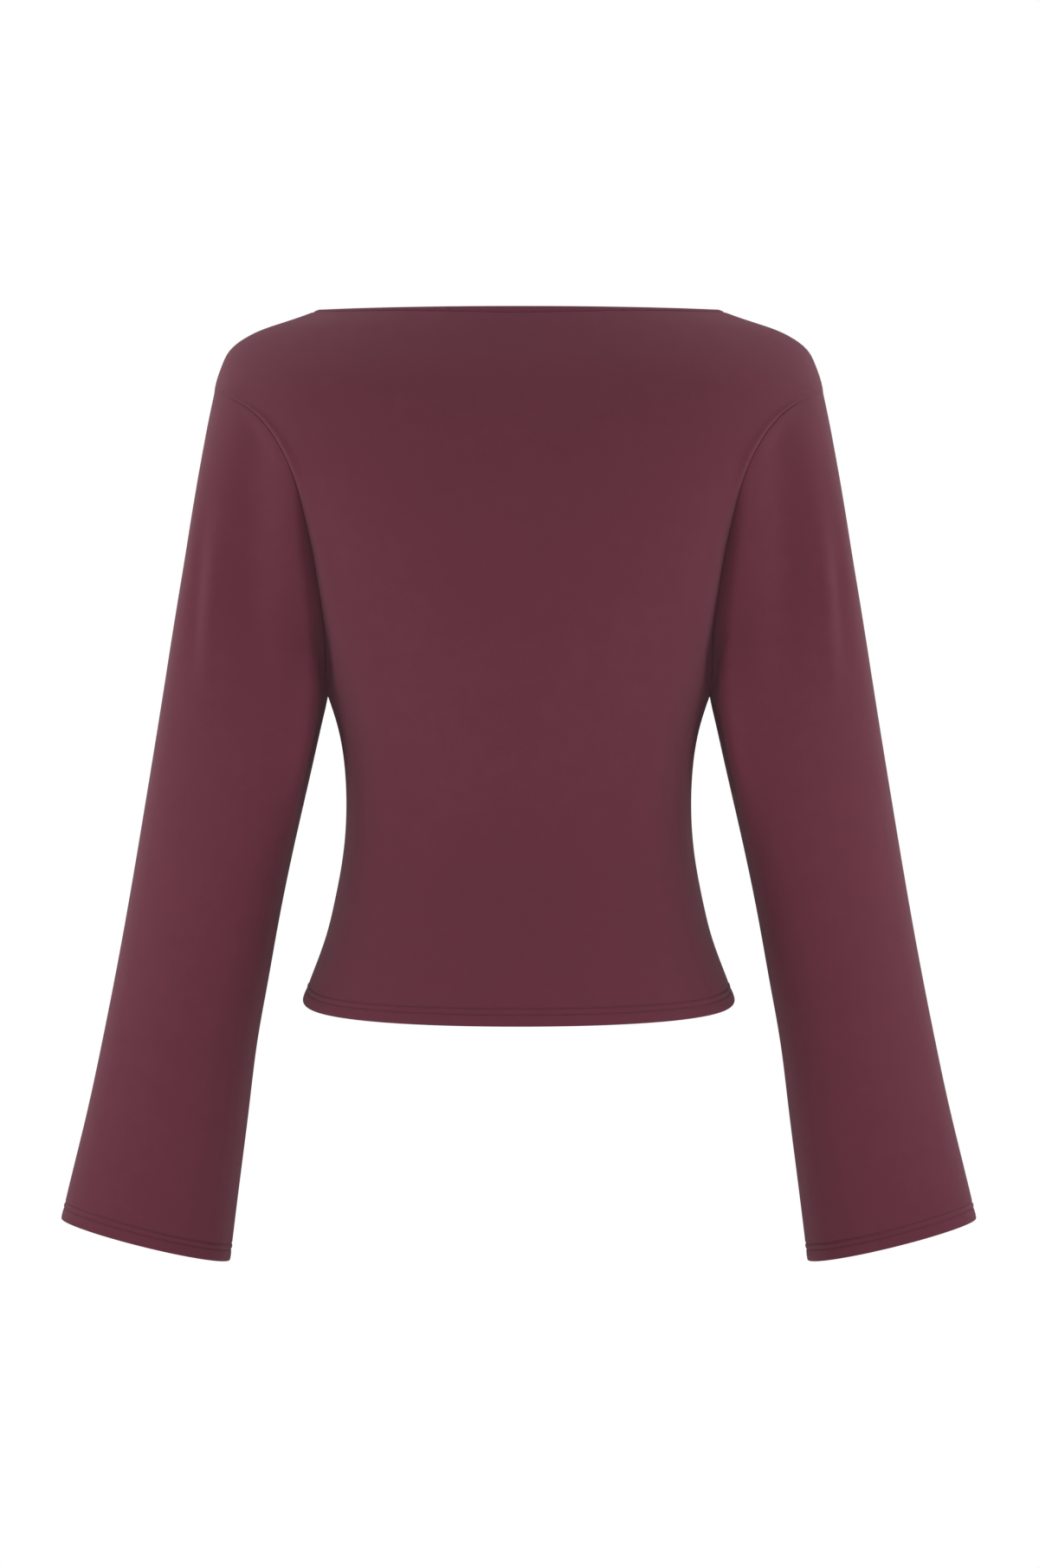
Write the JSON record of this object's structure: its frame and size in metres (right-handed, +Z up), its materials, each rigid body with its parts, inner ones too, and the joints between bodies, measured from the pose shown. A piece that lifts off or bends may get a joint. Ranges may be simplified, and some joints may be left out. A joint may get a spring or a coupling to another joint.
{
  "type": "boat neck top",
  "caption": "Fitted long-sleeved boat neck top of soft dark plum jersey, filled out as worn and hollow, with a wide shallow neckline, a nipped waist and flared sleeves.",
  "frame": {"origin": "midway between the two neck corners, at the height of the shoulder line, where the wearer's shoulders hold the top up", "axes": "+Z up; the back, which the picture shows, faces -Y and the front +Y; seen from behind, the left sleeve lies at -X and the right sleeve at +X"},
  "size_m": [0.6352, 0.2188, 0.66],
  "materials": {
    "jersey": "soft matt single jersey knit in dark plum, with a faint nap",
    "thread": "polyester sewing thread matched to the cloth, a shade darker"
  },
  "bodies": {
    "root": {"back": "jersey", "front": "jersey", "sleeve_left": "jersey", "sleeve_right": "jersey"}
  },
  "joints": []
}
